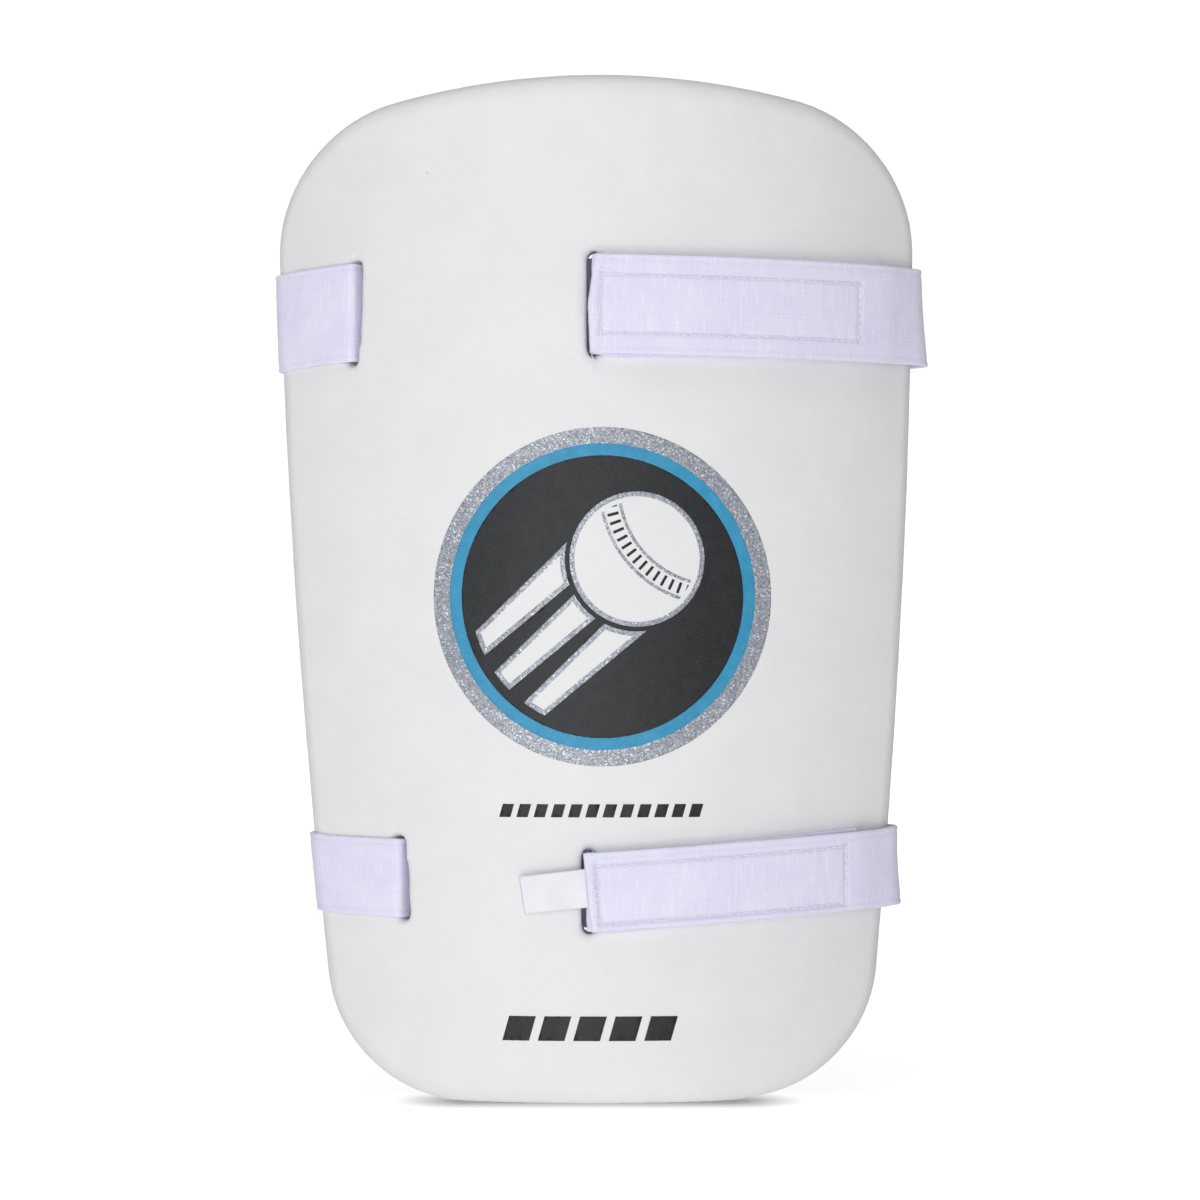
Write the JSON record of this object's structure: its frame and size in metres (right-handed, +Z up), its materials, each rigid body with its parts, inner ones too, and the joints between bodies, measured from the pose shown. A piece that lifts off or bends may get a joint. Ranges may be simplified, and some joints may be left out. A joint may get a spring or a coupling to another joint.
{
  "type": "cricket thigh guard",
  "caption": "Moulded foam guard for a batter's thigh, barrel-curved around the leg, with elastic straps that close by hook and loop on its front.",
  "frame": {"origin": "middle of the flat foot on the bottom edge, on which the guard stands", "axes": "+Z up along the leg, +X to the right as seen from the front, -Y out of the convex front, +Y towards the leg"},
  "size_m": [0.2123, 0.0698, 0.3308],
  "materials": {
    "foam": "smooth closed-cell moulded foam skin, matte, faintly mottled",
    "elastic": "woven white elastic, fine lengthwise ribs, cool white",
    "loop_pile": "white brushed loop pile",
    "hook_tape": "white moulded hook tape",
    "thread": "white polyester thread",
    "label_satin": "plain white satin ribbon",
    "silver_ink": "silver glitter transfer ink",
    "blue_ink": "blue transfer ink",
    "black_ink": "black transfer ink"
  },
  "bodies": {
    "root": {"foam_shell": "foam", "emblem_silver": "silver_ink", "emblem_blue": "blue_ink", "emblem_black": "black_ink", "short_mark_print": "black_ink", "long_mark_print": "black_ink", "upper_belt": "elastic", "upper_loop_patch": "loop_pile", "lower_belt": "elastic", "lower_loop_patch": "loop_pile"},
    "upper_tab": {"upper_tab": "elastic", "upper_hook_patch": "hook_tape", "upper_tab_stitching": "thread"},
    "lower_tab": {"lower_tab": "elastic", "lower_hook_patch": "hook_tape", "lower_tab_stitching": "thread"},
    "size_label": {"size_label": "label_satin"}
  },
  "joints": [
    {"name": "upper_tab_peel", "type": "hinge", "parent": "root", "child": "upper_tab", "pos_m": [0.10293, 0.01239, 0.2542], "axis": [0.0255, 0.1159, 0.9929], "range_deg": [0, 140]},
    {"name": "lower_tab_peel", "type": "hinge", "parent": "root", "child": "lower_tab", "pos_m": [0.09406, 0.01016, 0.076], "axis": [0.0593, -0.0936, 0.9938], "range_deg": [0, 140]},
    {"name": "size_label_flip", "type": "hinge", "parent": "lower_tab", "child": "size_label", "pos_m": [-0.0049, -0.02354, 0.07005], "axis": [0, -0.119, 0.9929], "range_deg": [0, 90]}
  ]
}
